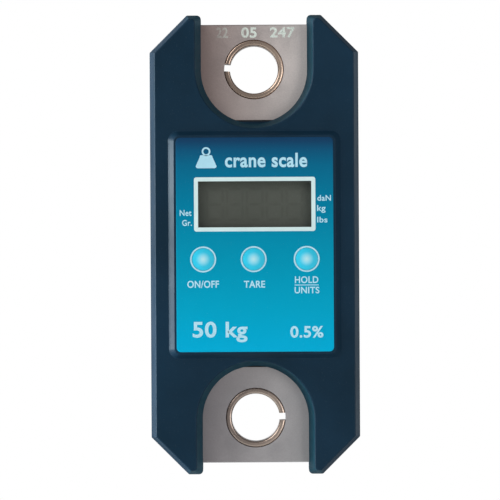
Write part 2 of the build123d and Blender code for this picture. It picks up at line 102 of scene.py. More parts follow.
def start_group(name, inputs, outputs):
    """An empty shader group with float inputs {name: default} and float outputs [name]."""
    tree = bpy.data.node_groups.new(name, "ShaderNodeTree")
    for label, value in inputs.items():
        socket = tree.interface.new_socket(label, in_out="INPUT", socket_type="NodeSocketFloat")
        socket.default_value = value
    for label in outputs:
        tree.interface.new_socket(label, in_out="OUTPUT", socket_type="NodeSocketFloat")
    entry = tree.nodes.new("NodeGroupInput")
    leave = tree.nodes.new("NodeGroupOutput")
    return tree, entry, leave


def add_node(tree, kind, **settings):
    """A new node with its settings, such as operation="MULTIPLY"."""
    node = tree.nodes.new(kind)
    for key, value in settings.items():
        setattr(node, key, value)
    return node


def math_node(tree, operation, first, second):
    """A Math node. Each operand is a number or an output socket."""
    node = add_node(tree, "ShaderNodeMath", operation=operation)
    for socket, value in zip(node.inputs, (first, second)):
        if isinstance(value, (int, float)):
            socket.default_value = value
        else:
            tree.links.new(value, socket)
    return node.outputs[0]


def noise(tree, vector, scale, detail=3.0, rough=0.5):
    """Noise on a vector. The scale is a number or a socket."""
    node = add_node(tree, "ShaderNodeTexNoise")
    tree.links.new(vector, node.inputs["Vector"])
    if isinstance(scale, (int, float)):
        node.inputs["Scale"].default_value = scale
    else:
        tree.links.new(scale, node.inputs["Scale"])
    node.inputs["Detail"].default_value = detail
    node.inputs["Roughness"].default_value = rough
    return node.outputs["Fac"]


def stretch(tree, value, low, high, to_low=0.0, to_high=1.0):
    """Maps a value's range from low..high to another range, clamped."""
    node = add_node(tree, "ShaderNodeMapRange")
    tree.links.new(value, node.inputs["Value"])
    for label, number in zip(("From Min", "From Max", "To Min", "To Max"), (low, high, to_low, to_high)):
        node.inputs[label].default_value = number
    return node.outputs["Result"]


def object_point(tree, scale=(1, 1, 1), place=(0, 0, 0)):
    """Object coordinates through a Mapping node."""
    source = add_node(tree, "ShaderNodeTexCoord")
    mapping = add_node(tree, "ShaderNodeMapping")
    mapping.inputs["Scale"].default_value = scale
    mapping.inputs["Location"].default_value = place
    tree.links.new(source.outputs["Object"], mapping.inputs["Vector"])
    return mapping.outputs["Vector"]


# %% [markdown]
# **Moulded grain.** A spark-eroded mould leaves a skin of tiny pits, a few tenths of a millimetre
# apart, with slow changes of gloss over centimetres where the plastic flowed.

# %% Moulded grain


def make_moulded_grain():
    tree, entry, leave = start_group("moulded_grain", {"Pitch": 4200.0}, ["Height", "Flow"])
    point = object_point(tree)
    fine = noise(tree, point, entry.outputs["Pitch"], 2.0, 0.6)
    coarse = noise(tree, point, 900.0, 2.0, 0.5)
    height = math_node(tree, "MULTIPLY_ADD", fine, 0.7)
    tree.links.new(math_node(tree, "MULTIPLY", coarse, 0.3), height.node.inputs[2])
    tree.links.new(height, leave.inputs["Height"])
    flow = stretch(tree, noise(tree, point, 38.0, 4.0, 0.55), 0.3, 0.7)
    tree.links.new(flow, leave.inputs["Flow"])
    return tree


moulded_grain = make_moulded_grain()

# %% [markdown]
# ** Edge wear and sheen.** Corners that hands and benches touch go smoother, and they are painted lighter, partly as wear and partly as a painted edge highlight. The Bevel node
# rounds normals near an edge, so where the rounded normal turns away from the true one there is an
# edge, and noise breaks the line up into patches.

# %% Edge wear and sheen


def make_edge_wear_and_sheen():
    tree, entry, leave = start_group("edge_wear_and_sheen", {"Patchiness": 0.5}, ["Mask"])
    rounded = add_node(tree, "ShaderNodeBevel", samples=4)
    rounded.inputs["Radius"].default_value = 0.5 * MM
    true_normal = add_node(tree, "ShaderNodeNewGeometry")
    match = add_node(tree, "ShaderNodeVectorMath", operation="DOT_PRODUCT")
    tree.links.new(rounded.outputs["Normal"], match.inputs[0])
    tree.links.new(true_normal.outputs["Normal"], match.inputs[1])
    edge = stretch(tree, match.outputs["Value"], 0.995, 0.86)
    patches = stretch(tree, noise(tree, object_point(tree), 260.0, 4.0, 0.6), 0.35, 0.65)
    gaps = math_node(tree, "SUBTRACT", 1.0, patches)
    broken = math_node(tree, "MULTIPLY", gaps, entry.outputs["Patchiness"])
    kept = math_node(tree, "SUBTRACT", 1.0, broken)
    tree.links.new(math_node(tree, "MULTIPLY", edge, kept), leave.inputs["Mask"])
    return tree


edge_wear_and_sheen = make_edge_wear_and_sheen()

# %% [markdown]
# **Ground metal.** A blasted and ground surface has a fine speckle, faint lines one way where the
# belt ran, and a few scratches that cross them. Stretched noise makes the lines, plain noise the
# speckle, and thin Voronoi cell edges the scratches.

# %% Ground metal


def make_ground_metal():
    tree, entry, leave = start_group("ground_metal", {"Lines": 0.4}, ["Height", "Speckle", "Scratches"])
    lines = noise(tree, object_point(tree, (500, 500, 9000)), 1.0, 3.0, 0.7)
    speckle = noise(tree, object_point(tree), 2300.0, 2.0, 0.6)
    height = math_node(tree, "MULTIPLY_ADD", lines, entry.outputs["Lines"])
    tree.links.new(speckle, height.node.inputs[2])
    tree.links.new(height, leave.inputs["Height"])
    tree.links.new(stretch(tree, speckle, 0.3, 0.7), leave.inputs["Speckle"])
    crossing = add_node(tree, "ShaderNodeTexVoronoi", feature="DISTANCE_TO_EDGE")
    crossing.inputs["Scale"].default_value = 1.0
    tree.links.new(object_point(tree, (420, 420, 130)), crossing.inputs["Vector"])
    thin = stretch(tree, crossing.outputs["Distance"], 0.006, 0.0)
    sparse = stretch(tree, noise(tree, object_point(tree), 90.0, 2.0, 0.5), 0.58, 0.66)
    tree.links.new(math_node(tree, "MULTIPLY", thin, sparse), leave.inputs["Scratches"])
    return tree


ground_metal = make_ground_metal()

# %% [markdown]
# **Handling marks.** Finger grease and dust change the gloss in soft, cloudy patches, and change
# the colour hardly at all.

# %% Handling marks


def make_handling():
    tree, entry, leave = start_group("handling", {"Cloud": 70.0}, ["Smudge", "Dust"])
    point = object_point(tree)
    smudge = stretch(tree, noise(tree, point, entry.outputs["Cloud"], 5.0, 0.6), 0.38, 0.68)
    tree.links.new(smudge, leave.inputs["Smudge"])
    speck = stretch(tree, noise(tree, point, 2600.0, 1.0, 0.4), 0.70, 0.76)
    tree.links.new(speck, leave.inputs["Dust"])
    return tree


handling = make_handling()
print("groups:", [group.name for group in bpy.data.node_groups])

# %% [markdown]
# ## Materials
# A helper starts each material with a Principled shader and can place a group, mix two colours by
# a mask, and join a Bump node. Values that are the same all over are set on the shader itself.

# %% Material helpers


def start_material(name, base, roughness, metallic=0.0, specular=0.5):
    """A material with a Principled shader. Returns the material, its tree and the shader."""
    material = bpy.data.materials.new(name)
    material.use_nodes = True
    material.diffuse_color = base
    tree = material.node_tree
    shader = tree.nodes["Principled BSDF"]
    shader.inputs["Base Color"].default_value = base
    shader.inputs["Roughness"].default_value = roughness
    shader.inputs["Metallic"].default_value = metallic
    shader.inputs["Specular IOR Level"].default_value = specular
    return material, tree, shader


def place_group(tree, group, **values):
    node = add_node(tree, "ShaderNodeGroup", node_tree=group)
    for label, value in values.items():
        node.inputs[label].default_value = value
    return node


def mix_colours(tree, mask, first, second):
    """Colour that goes from first to second with the mask. Each colour is a value or a socket."""
    node = add_node(tree, "ShaderNodeMix", data_type="RGBA")
    tree.links.new(mask, node.inputs["Factor"])
    for label, colour in (("A", first), ("B", second)):
        socket = [s for s in node.inputs if s.name == label and s.type == "RGBA"][0]
        if isinstance(colour, tuple):
            socket.default_value = colour
        else:
            tree.links.new(colour, socket)
    return [s for s in node.outputs if s.type == "RGBA"][0]


def add_bump(tree, shader, height, depth, strength=1.0):
    """Joins a height, whose full range is depth metres, to the shader's normal."""
    bump = add_node(tree, "ShaderNodeBump")
    bump.inputs["Strength"].default_value = strength
    bump.inputs["Distance"].default_value = depth
    tree.links.new(height, bump.inputs["Height"])
    tree.links.new(bump.outputs["Normal"], shader.inputs["Normal"])


# %% [markdown]
# ** Case plastic.** The case is navy ABS with a fine matt grain, slightly glossier along the edges that
# hands rub, where a lighter colour is partly wear and partly a painted edge highlight. The steep walls, which
# slid along the mould as it opened, are duller, and those of the notches are painted a little paler as
# painted light where the lamps fall on them. The specular level is low, because a spark-eroded skin scatters
# most of its sheen.

# %% Case plastic


def make_wall_mask(tree):
    """Mask of the steep walls, which were drawn along the mould and face away from the front."""
    facing = add_node(tree, "ShaderNodeSeparateXYZ")
    tree.links.new(add_node(tree, "ShaderNodeTexCoord").outputs["Normal"], facing.inputs["Vector"])
    return stretch(tree, math_node(tree, "ABSOLUTE", facing.outputs["Y"], 0), 0.5, 0.3, 0, 1)


def make_case_plastic():
    material, tree, shader = start_material("case_plastic", chart(9, 36, 54), 0.46, specular=0.09)
    grain = place_group(tree, moulded_grain)
    edges = place_group(tree, edge_wear_and_sheen, Patchiness=0.6)
    marks = place_group(tree, handling, Cloud=55.0)
    wall = make_wall_mask(tree)
    face = mix_colours(tree, grain.outputs["Flow"], chart(9, 36, 52), chart(15, 44, 63))
    axes = add_node(tree, "ShaderNodeSeparateXYZ")
    tree.links.new(object_point(tree), axes.inputs["Vector"])
    off_middle = math_node(tree, "ABSOLUTE", axes.outputs["X"], 0)
    inner = stretch(tree, off_middle, 23 * MM, 21.5 * MM, 0, 1)
    # Painted light: the notch walls near the middle are mixed towards a paler colour where light falls on
    # them.
    body = mix_colours(tree, math_node(tree, "MULTIPLY", wall, inner), face, chart(22, 60, 74))
    # Lighter edges: partly wear, partly a painted edge highlight.
    worn_and_sheened = mix_colours(tree, stretch(tree, edges.outputs["Mask"], 0, 1, 0, 0.22), body, chart(70, 96, 118))
    dusty = mix_colours(tree, stretch(tree, marks.outputs["Dust"], 0, 1, 0, 0.06), worn_and_sheened, chart(150, 156, 160))
    tree.links.new(dusty, shader.inputs["Base Color"])
    gloss = stretch(tree, marks.outputs["Smudge"], 0, 1, 0.42, 0.5)
    smoother = math_node(tree, "SUBTRACT", gloss, math_node(tree, "MULTIPLY", edges.outputs["Mask"], 0.12))
    drawn = math_node(tree, "ADD", smoother, math_node(tree, "MULTIPLY", wall, 0.12))
    tree.links.new(drawn, shader.inputs["Roughness"])
    tree.links.new(stretch(tree, wall, 0, 1, 0.13, 0.035), shader.inputs["Specular IOR Level"])
    add_bump(tree, shader, grain.outputs["Height"], 0.03 * MM, 0.5)
    return material


case_plastic = make_case_plastic()

# %% [markdown]
# ** Metals.** The load cell is a blasted plate, a touch warm, painted darker at the left and lighter at the
# right as a painted reflection of the lamps, and painted greyer and darker towards its foot as painted shade.
# The bushes are rolled spring steel, browner and shinier, with the same painted light. The same function
# makes both from a shaded and a lit tone, so the painted light is a Map Range on the X coordinate and the
# painted shade one on Z.

# %% Cell and bush metal


def make_metal(name, shaded_left_tone, lit_right_tone, roughness, scratch, reach, foot_shade_share):
    material, tree, shader = start_material(name, lit_right_tone, roughness, metallic=1.0)
    surface = place_group(tree, ground_metal, Lines=0.3)
    marks = place_group(tree, handling, Cloud=110.0)
    axes = add_node(tree, "ShaderNodeSeparateXYZ")
    tree.links.new(object_point(tree), axes.inputs["Vector"])
    # Painted reflection: the tone runs from the shaded left tone to the lit right tone along X.
    side = stretch(tree, axes.outputs["X"], -reach, reach)
    across = mix_colours(tree, side, shaded_left_tone, lit_right_tone)
    # Painted shade: the lower part turns darker and greyer along Z.
    painted_foot_shade = stretch(tree, axes.outputs["Z"], -40 * MM, -110 * MM, 0.0, foot_shade_share)
    lit_and_shaded_tone = mix_colours(tree, painted_foot_shade, across, chart(146, 150, 156))
    speckle_mask = stretch(tree, surface.outputs["Speckle"], 0, 1, 0.12, 0.0)
    speckled = mix_colours(tree, speckle_mask, lit_and_shaded_tone, chart(90, 80, 76))
    scored_mask = stretch(tree, surface.outputs["Scratches"], 0, 1, 0, scratch)
    scored = mix_colours(tree, scored_mask, speckled, chart(235, 232, 228))
    tree.links.new(scored, shader.inputs["Base Color"])
    clouds = stretch(tree, marks.outputs["Smudge"], 0, 1, roughness - 0.04, roughness + 0.06)
    tree.links.new(clouds, shader.inputs["Roughness"])
    add_bump(tree, shader, surface.outputs["Height"], 0.006 * MM, 0.5)
    return material


cell_metal = make_metal("cell_metal", chart(146, 121, 115), chart(250, 240, 234), 0.42, 0.25, 22 * MM, 0.55)
bush_metal = make_metal("bush_metal", chart(156, 134, 120), chart(214, 188, 168), 0.3, 0.3, 12 * MM, 0.2)

# %% [markdown]
# **Printed film.** The face is a polycarbonate film printed behind in one colour that runs from
# deep blue at the top to bright cyan at the foot. The run is a colour ramp on the height above the
# film's foot.

# %% Printed film


def make_film():
    material, tree, shader = start_material("printed_film", chart(8, 137, 170), 0.34, specular=0.05)
    height = film_high.z - film_low.z
    point = object_point(tree, (1 / height, 1 / height, 1 / height), (0, 0, -film_low.z / height))
    axes = add_node(tree, "ShaderNodeSeparateXYZ")
    tree.links.new(point, axes.inputs["Vector"])
    ramp = add_node(tree, "ShaderNodeValToRGB")
    stops = (
        (0.02, chart(2, 166, 205)),
        (0.20, chart(2, 157, 190)),
        (0.44, chart(2, 142, 172)),
        (0.72, chart(4, 117, 149)),
        (0.87, chart(9, 100, 133)),
        (0.945, chart(17, 80, 114)),
        (0.985, chart(22, 60, 92)),
    )
    ramp.color_ramp.elements[0].position = stops[0][0]
    ramp.color_ramp.elements[0].color = stops[0][1]
    ramp.color_ramp.elements[1].position = stops[-1][0]
    ramp.color_ramp.elements[1].color = stops[-1][1]
    for position, colour in stops[1:-1]:
        ramp.color_ramp.elements.new(position).color = colour
    tree.links.new(axes.outputs["Z"], ramp.inputs["Fac"])
    marks = place_group(tree, handling, Cloud=90.0)
    dust = stretch(tree, marks.outputs["Dust"], 0, 1, 0, 0.04)
    speckled = mix_colours(tree, dust, ramp.outputs["Color"], chart(220, 230, 235))
    tree.links.new(speckled, shader.inputs["Base Color"])
    tree.links.new(stretch(tree, marks.outputs["Smudge"], 0, 1, 0.3, 0.4), shader.inputs["Roughness"])
    add_bump(tree, shader, noise(tree, object_point(tree), 5200.0, 1.0, 0.5), 0.004 * MM, 0.5)
    return material


printed_film = make_film()

# %% [markdown]
# **Key print.** Each key cap is printed pale in the middle and runs out to cyan in rings, so the
# colour follows the distance from the cap's centre. A Mapping node moves the pattern to each key.

# %% Key print


def make_key_print(name, centre):
    material, tree, shader = start_material(name, chart(60, 196, 224), 0.3, specular=0.2)
    point = object_point(tree, (1, 0, 1), (-centre.x, 0, -centre.z))
    distance = add_node(tree, "ShaderNodeVectorMath", operation="LENGTH")
    tree.links.new(point, distance.inputs[0])
    ramp = add_node(tree, "ShaderNodeValToRGB")
    stops = (
        (0.0, chart(186, 226, 230)),
        (0.17, chart(165, 219, 229)),
        (0.30, chart(148, 214, 228)),
        (0.50, chart(108, 205, 227)),
        (0.70, chart(56, 192, 220)),
        (0.92, chart(44, 190, 219)),
    )
    ramp.color_ramp.elements[0].color = stops[0][1]
    ramp.color_ramp.elements[1].position = stops[-1][0]
    ramp.color_ramp.elements[1].color = stops[-1][1]
    for position, colour in stops[1:-1]:
        ramp.color_ramp.elements.new(position).color = colour
    radius = 3.4 * MM
    tree.links.new(stretch(tree, distance.outputs["Value"], 0, radius), ramp.inputs["Fac"])
    marks = place_group(tree, handling, Cloud=200.0)
    tree.links.new(ramp.outputs["Color"], shader.inputs["Base Color"])
    tree.links.new(stretch(tree, marks.outputs["Smudge"], 0, 1, 0.26, 0.36), shader.inputs["Roughness"])
    add_bump(tree, shader, noise(tree, object_point(tree), 4200.0, 2.0, 0.5), 0.006 * MM, 0.5)
    return material


key_prints = {node: make_key_print("print_" + node, centre) for node, centre in key_centres.items()}
print("key prints:", sorted(key_prints))

# %% [markdown]
# **Small finishes.** Inks, rubber, plated parts and plain plastics each mix two close tones in
# clouds, with uneven gloss and a fine grain. One function makes them all from their own values.

# %% Inks and other small finishes


def make_varied(
    name, first, second, roughness, cloud=120.0, metallic=0.0, grain=0.004, specular=0.5, pitch=3000.0
):
    """Two close tones in clouds, uneven gloss and a fine grain."""
    material, tree, shader = start_material(name, first, roughness, metallic, specular)
    marks = place_group(tree, handling, Cloud=cloud)
    tone = mix_colours(tree, marks.outputs["Smudge"], first, second)
    tree.links.new(tone, shader.inputs["Base Color"])
    low, high = max(0.02, roughness - 0.05), roughness + 0.06
    tree.links.new(stretch(tree, marks.outputs["Smudge"], 0, 1, low, high), shader.inputs["Roughness"])
    add_bump(tree, shader, noise(tree, object_point(tree), pitch, 2.0, 0.55), grain * MM, 0.7)
    return material


pale_ink = make_varied("pale_ink", chart(172, 214, 228), chart(182, 222, 234), 0.45, specular=0.1)
frame_ink = make_varied("frame_ink", chart(204, 224, 222), chart(212, 230, 228), 0.45, specular=0.1)
display_panel = make_varied(
    "display_panel", chart(98, 100, 92), chart(101, 103, 95), 0.4, cloud=40.0, specular=0.1
)
display_segment = make_varied(
    "display_segment", chart(94, 96, 88), chart(97, 98, 90), 0.4, cloud=40.0, specular=0.1
)
black_plastic = make_varied("black_plastic", chart(22, 22, 24), chart(30, 30, 32), 0.5, grain=0.01)
black_rubber = make_varied(
    "black_rubber", chart(12, 12, 13), chart(20, 20, 21), 0.8, grain=0.05, pitch=1800.0
)
white_plastic = make_varied("white_plastic", chart(226, 222, 206), chart(214, 208, 190), 0.45, grain=0.01)
tin_plate = make_varied("tin_plate", chart(196, 198, 200), chart(170, 172, 176), 0.3, metallic=1.0)
screw_steel = make_varied(
    "screw_steel", chart(120, 122, 128), chart(92, 94, 100), 0.36, metallic=1.0, grain=0.006
)
gauge_film = make_varied("gauge_film", chart(196, 128, 40), chart(170, 104, 30), 0.3)
capacitor_body = make_varied("capacitor_body", chart(180, 130, 70), chart(160, 112, 60), 0.45)
board_laminate = make_varied("board_laminate", chart(18, 92, 52), chart(14, 78, 44), 0.35, grain=0.01)
red_sheath = make_varied("red_sheath", chart(170, 22, 20), chart(150, 18, 18), 0.42)
dark_sheath = make_varied("dark_sheath", chart(28, 28, 30), chart(38, 38, 40), 0.42)
jacket_dark = make_varied("jacket_dark", chart(26, 28, 34), chart(34, 36, 42), 0.28)
jacket_band = make_varied("jacket_band", chart(196, 120, 52), chart(178, 104, 42), 0.26)
label_stock = make_varied("label_stock", chart(176, 180, 182), chart(166, 170, 173), 0.4, cloud=60.0)
label_ink = make_varied("label_ink", chart(30, 34, 40), chart(40, 44, 50), 0.45)

# %% [markdown]
# ** Etched marks.** The figures on the upper eye are bitten into the metal by a pen, so they are
# dull and whitish, and they are painted darker towards the left as painted shade. Their tone follows the X
# coordinate.

# %% Etched marks


def make_etched():
    whitish = chart(200, 210, 200)
    material, tree, shader = start_material("etched_marks", whitish, 0.6, metallic=0.5, specular=0.3)
    axes = add_node(tree, "ShaderNodeSeparateXYZ")
    tree.links.new(object_point(tree), axes.inputs["Vector"])
    # Painted shade: the figures go darker towards the left.
    lit_side_fade = stretch(tree, axes.outputs["X"], -13 * MM, -1 * MM)
    tone = mix_colours(tree, lit_side_fade, chart(158, 146, 140), chart(228, 236, 226))
    bite = place_group(tree, ground_metal, Lines=0.0)
    pit_mask = stretch(tree, bite.outputs["Speckle"], 0, 1, 0.25, 0.0)
    pitted = mix_colours(tree, pit_mask, tone, chart(140, 134, 128))
    tree.links.new(pitted, shader.inputs["Base Color"])
    tree.links.new(stretch(tree, bite.outputs["Speckle"], 0, 1, 0.55, 0.7), shader.inputs["Roughness"])
    add_bump(tree, shader, bite.outputs["Height"], 0.01 * MM, 0.6)
    return material


etched_marks = make_etched()

# %% [markdown]
# **Window.** The window is a clear sheet that hardly shows beyond a faint sheen. A low alpha over a
# dark tone keeps the display behind it readable.

# %% Window


def make_window():
    material, tree, shader = start_material("clear_window", (0.02, 0.025, 0.022, 1), 0.08, specular=0.25)
    shader.inputs["Alpha"].default_value = 0.1
    marks = place_group(tree, handling, Cloud=60.0)
    tree.links.new(stretch(tree, marks.outputs["Smudge"], 0, 1, 0.05, 0.12), shader.inputs["Roughness"])
    return material


clear_window = make_window()

# %% [markdown]
# The model's own parts already have the right shape, so most of them only need a finish.

# %% Dress the model's own parts


def dress(material, *names):
    """Gives model parts a finish of this lesson."""
    for name in names:
        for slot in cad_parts[name].material_slots:
            slot.material = material


dress(case_plastic, "front_cover", "rear_cover", "battery_door")
dress(cell_metal, "load_cell")
dress(clear_window, "lcd_window")
dress(display_panel, "lcd_glass")
dress(board_laminate, "main_board")
dress(black_plastic, "lcd_holder", "key_switches", "microcontroller", "converter_chip")
# Painted shade: the cell seals and gauge sealant are black rubber that fills the slit over the cell's thin
# middle, a dark fill standing in for the shade there.
dress(black_rubber, "zebra_strips", "cell_seals", "gauge_sealant")
dress(white_plastic, "gauge_connector")
dress(tin_plate, "crystal", "contact_plates", "contact_springs")
dress(screw_steel, "case_screws", "board_screws", "cell_screws")
dress(gauge_film, "strain_gauges")
dress(capacitor_body, "capacitors")
dress(red_sheath, "gauge_wires", "link_wire")
dress(dark_sheath, "battery_leads")

# %% [markdown]
# ## Pieces modelled by hand
# Each new piece starts from a primitive at its size and place and is shaped in edit mode. Faces and
# corners are picked in code by where they are, so a few helpers select, merge and finish.

# %% Modelling helpers


def clear_selection():
    """Object mode with nothing selected."""
    if bpy.context.object and bpy.context.object.mode != "OBJECT":
        bpy.ops.object.mode_set(mode="OBJECT")
    bpy.ops.object.select_all(action="DESELECT")


def started(name):
    """The primitive that was just added, under its own name and in edit mode with nothing selected."""
    piece = bpy.context.object
    piece.name = name
    piece.data.name = name
    bpy.ops.object.transform_apply(location=True, rotation=True, scale=True)
    bpy.ops.object.mode_set(mode="EDIT")
    bpy.ops.mesh.select_all(action="DESELECT")
    return piece


def pick(piece, chosen, kind="FACE"):
    """Selects the faces, edges or corners whose middle passes the test chosen(point)."""
    bpy.ops.mesh.select_mode(type=kind)
    bpy.ops.mesh.select_all(action="DESELECT")
    bpy.ops.object.mode_set(mode="OBJECT")
    mesh = piece.data
    if kind == "FACE":
        for face in mesh.polygons:
            face.select = chosen(face.center)
    elif kind == "EDGE":
        for edge in mesh.edges:
            first, second = (mesh.vertices[number].co for number in edge.vertices)
            edge.select = chosen((first + second) / 2)
    else:
        for corner in mesh.vertices:
            corner.select = chosen(corner.co)
    bpy.ops.object.mode_set(mode="EDIT")


def push(distance):
    """Extrudes the selected faces along Y, where minus is towards the reader."""
    bpy.ops.mesh.extrude_region_move(TRANSFORM_OT_translate={"value": (0, distance, 0)})


def complete(piece, material, body, slot, *replaced, angle=35):
    """Merges doubles, turns faces outwards, smooths, and says what the piece rides on."""
    if bpy.context.object.mode != "EDIT":
        bpy.ops.object.mode_set(mode="EDIT")
    bpy.ops.mesh.select_all(action="SELECT")
    bpy.ops.mesh.remove_doubles(threshold=0.0005 * MM)
    bpy.ops.mesh.normals_make_consistent(inside=False)
    bpy.ops.object.mode_set(mode="OBJECT")
    bpy.ops.object.shade_smooth_by_angle(angle=math.radians(angle))
    if not piece.data.materials:
        piece.data.materials.append(material)
    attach(piece, body)
    if replaced:
        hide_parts(*replaced)
    print(piece.name, "faces:", len(piece.data.polygons))


def apply_modifier(piece, modifier):
    clear_selection()
    piece.select_set(True)
    bpy.context.view_layer.objects.active = piece
    bpy.ops.object.modifier_apply(modifier=modifier.name)


def cut_away(piece, cutter):
    """Takes the cutter's shape out of the piece, and the cutter with it."""
    modifier = piece.modifiers.new("cut", "BOOLEAN")
    modifier.operation = "DIFFERENCE"
    modifier.solver = "EXACT"
    modifier.object = cutter
    apply_modifier(piece, modifier)
    bpy.data.objects.remove(cutter)


def round_edges(piece, width, segments=2, angle=50):
    """Rounds every edge sharper than the angle."""
    modifier = piece.modifiers.new("round", "BEVEL")
    modifier.width = width
    modifier.segments = segments
    modifier.limit_method = "ANGLE"
    modifier.angle_limit = math.radians(angle)
    apply_modifier(piece, modifier)


def block(name, low, high):
    """A box between two corners, in edit mode."""
    clear_selection()
    middle = (Vector(low) + Vector(high)) / 2
    bpy.ops.mesh.primitive_cube_add(size=1, location=middle)
    bpy.context.object.scale = Vector(high) - Vector(low)
    return started(name)


# %% [markdown]
# **Bushes.** Each eye is lined with a sleeve rolled from spring steel, open along one line, with
# rounded ends. It could be a bent plate, but a turned ring with the gap cut out keeps it truly
# round: a small rectangle gets rounded corners, is spun about the eye, and a bar cuts the gap.

# %% Bushes
bush_inner, bush_outer = 8.0 * MM, 10.0 * MM
bush_half_length = 4.0 * MM
bush_gap = 2.45 * MM
bush_rounding = 0.75 * MM
gap_turns = {"top_bush": math.radians(176), "bottom_bush": math.radians(2)}


def model_bush(node):
    centre = eye_centres[node]
    clear_selection()
    thickness = bush_outer - bush_inner
    place = centre + Vector((bush_inner + thickness / 2, 0, 0))
    bpy.ops.mesh.primitive_plane_add(size=1, location=place)
    bpy.context.object.scale = (thickness, 2 * bush_half_length, 1)
    bush = started("rolled_" + node)
    bpy.ops.mesh.select_all(action="SELECT")
    bpy.ops.mesh.bevel(offset=bush_rounding, segments=6, affect="VERTICES")
    bpy.ops.mesh.delete(type="ONLY_FACE")
    bpy.ops.mesh.select_all(action="SELECT")
    bpy.ops.mesh.spin(steps=120, angle=2 * math.pi, center=centre, axis=(0, 1, 0))
    bpy.ops.mesh.select_all(action="SELECT")
    bpy.ops.mesh.remove_doubles(threshold=0.001 * MM)
    bpy.ops.mesh.normals_make_consistent(inside=False)
    clear_selection()
    bpy.ops.mesh.primitive_cube_add(size=1)
    bar = bpy.context.object
    bar.scale = (8 * MM, 12 * MM, bush_gap)
    turn = gap_turns[node]
    bar.location = centre + Vector((math.cos(turn), 0, math.sin(turn))) * 9.5 * MM
    bar.rotation_euler = (0, -turn, 0)
    cut_away(bush, bar)
    complete(bush, bush_metal, "casing", "bush_steel", node)


for node in eye_centres:
    model_bush(node)

# %% [markdown]
# **Film.** The overlay is a thin sheet with a window and three key holes. Its cut edges are slightly
# rounded and catch the light, which is why it is modelled again rather than only coloured: a plate
# with rounded corners, openings cut by a bar and three rods, then a fine round on every edge.

# %% Film
film_round = 1.5 * MM
film_edge_round = 0.12 * MM
film_size = film_high - film_low
window_half_width, window_half_height = 18.7 * MM, 7.55 * MM
window_gap = 0.1 * MM
key_hole_radius = 3.85 * MM
to_reader = (math.radians(90), 0, 0)


def rounded_plate(name, width, height, y, x=0.0, z=0.0, rounding=1.0 * MM, segments=8):
    """A flat rounded rectangle that faces the reader, in edit mode."""
    clear_selection()
    bpy.ops.mesh.primitive_plane_add(size=1, location=(x, y, z), rotation=to_reader)
    bpy.context.object.scale = (width, height, 1)
    piece = started(name)
    bpy.ops.mesh.select_all(action="SELECT")
    bpy.ops.mesh.bevel(offset=rounding, segments=segments, affect="VERTICES")
    bpy.ops.mesh.select_all(action="SELECT")
    return piece


film = rounded_plate("film", film_size.x, film_size.z, film_low.y, z=film_middle.z, rounding=film_round)
push(film_size.y)
bpy.ops.mesh.select_all(action="SELECT")
bpy.ops.mesh.normals_make_consistent(inside=False)
clear_selection()
opening_half_width = window_half_width + window_gap
opening_half_height = window_half_height + window_gap
opening_low = Vector((-opening_half_width, film_low.y - MM, window_middle.z - opening_half_height))
opening_high = Vector((opening_half_width, film_high.y + MM, window_middle.z + opening_half_height))
cut_away(film, block("window_bar", opening_low, opening_high))
for centre in key_centres.values():
    clear_selection()
    bpy.ops.mesh.primitive_cylinder_add(
        vertices=96,
        radius=key_hole_radius,
        depth=4 * MM,
        location=(centre.x, film_middle.y, centre.z),
        rotation=to_reader,
    )
    cut_away(film, bpy.context.object)
round_edges(film, film_edge_round)
complete(film, printed_film, "casing", "overlay_film", "faceplate", angle=14)

# %% [markdown]
# **Keys.** A key is a domed cap on a flange that holds it in, with a stem that reaches the switch.
# A cylinder is the cap. Its front is inset in rings that rise like a dome, and its back grows into
# the flange and then the stem. One function makes all three, each at its own place.

# %% Keys
cap_radius = 3.75 * MM
cap_front = -14.95 * MM
flange_front = -12.3 * MM
flange_back = -11.5 * MM
stem_back = -10.45 * MM
flange_radius = 5.0 * MM
stem_radius = 1.6 * MM
dome_height = 0.36 * MM
dome_rings = 6


def model_key(node):
    centre = key_centres[node]
    clear_selection()
    bpy.ops.mesh.primitive_cylinder_add(
        vertices=72,
        radius=cap_radius,
        depth=flange_front - cap_front,
        location=(centre.x, (cap_front + flange_front) / 2, centre.z),
        rotation=to_reader,
    )
    key = started("cap_" + node)
    pick(key, lambda point: point.y < cap_front + 0.01 * MM)
    radius = cap_radius
    height = 0.0
    for ring in range(dome_rings):
        inner = cap_radius * math.cos(math.pi / 2 * (ring + 1) / (dome_rings + 1))
        risen = dome_height * (1 - (inner / cap_radius) ** 2)
        bpy.ops.mesh.inset(thickness=radius - inner, depth=risen - height)
        radius, height = inner, risen
    pick(key, lambda point: point.y > flange_front - 0.01 * MM)
    middle = (centre.x, flange_front, centre.z)
    push(0)
    grow = flange_radius / cap_radius
    bpy.ops.transform.resize(value=(grow, 1, grow), center_override=middle)
    push(flange_back - flange_front)
    bpy.ops.mesh.inset(thickness=flange_radius - stem_radius)
    push(stem_back - flange_back)
    round_edges(key, 0.1 * MM)
    complete(key, key_prints[node], key_bodies[node], "key_plastic", node, angle=40)


for node in key_bodies:
    model_key(node)

# %% [markdown]
# ## Print on the film
# Screen printing lays ink a few hundredths of a millimetre thick, so the print is thin mesh with its
# own edge. Rings come from discs that are inset and emptied, and words from text fitted to a box.

# %% Printed rings and display frame
ink_thickness = 0.03 * MM
ink_y = print_y - ink_thickness
key_ring_radius, key_ring_width = 4.3 * MM, 0.5 * MM
frame_width, frame_height, frame_rounding = 40.3 * MM, 18.0 * MM, 0.8 * MM


def ring_from_face(width):
    """Turns the selected face into a thin printed ring of that width."""
    bpy.ops.mesh.inset(thickness=width)
    bpy.ops.mesh.delete(type="FACE")
    bpy.ops.mesh.select_all(action="SELECT")
    push(ink_thickness)


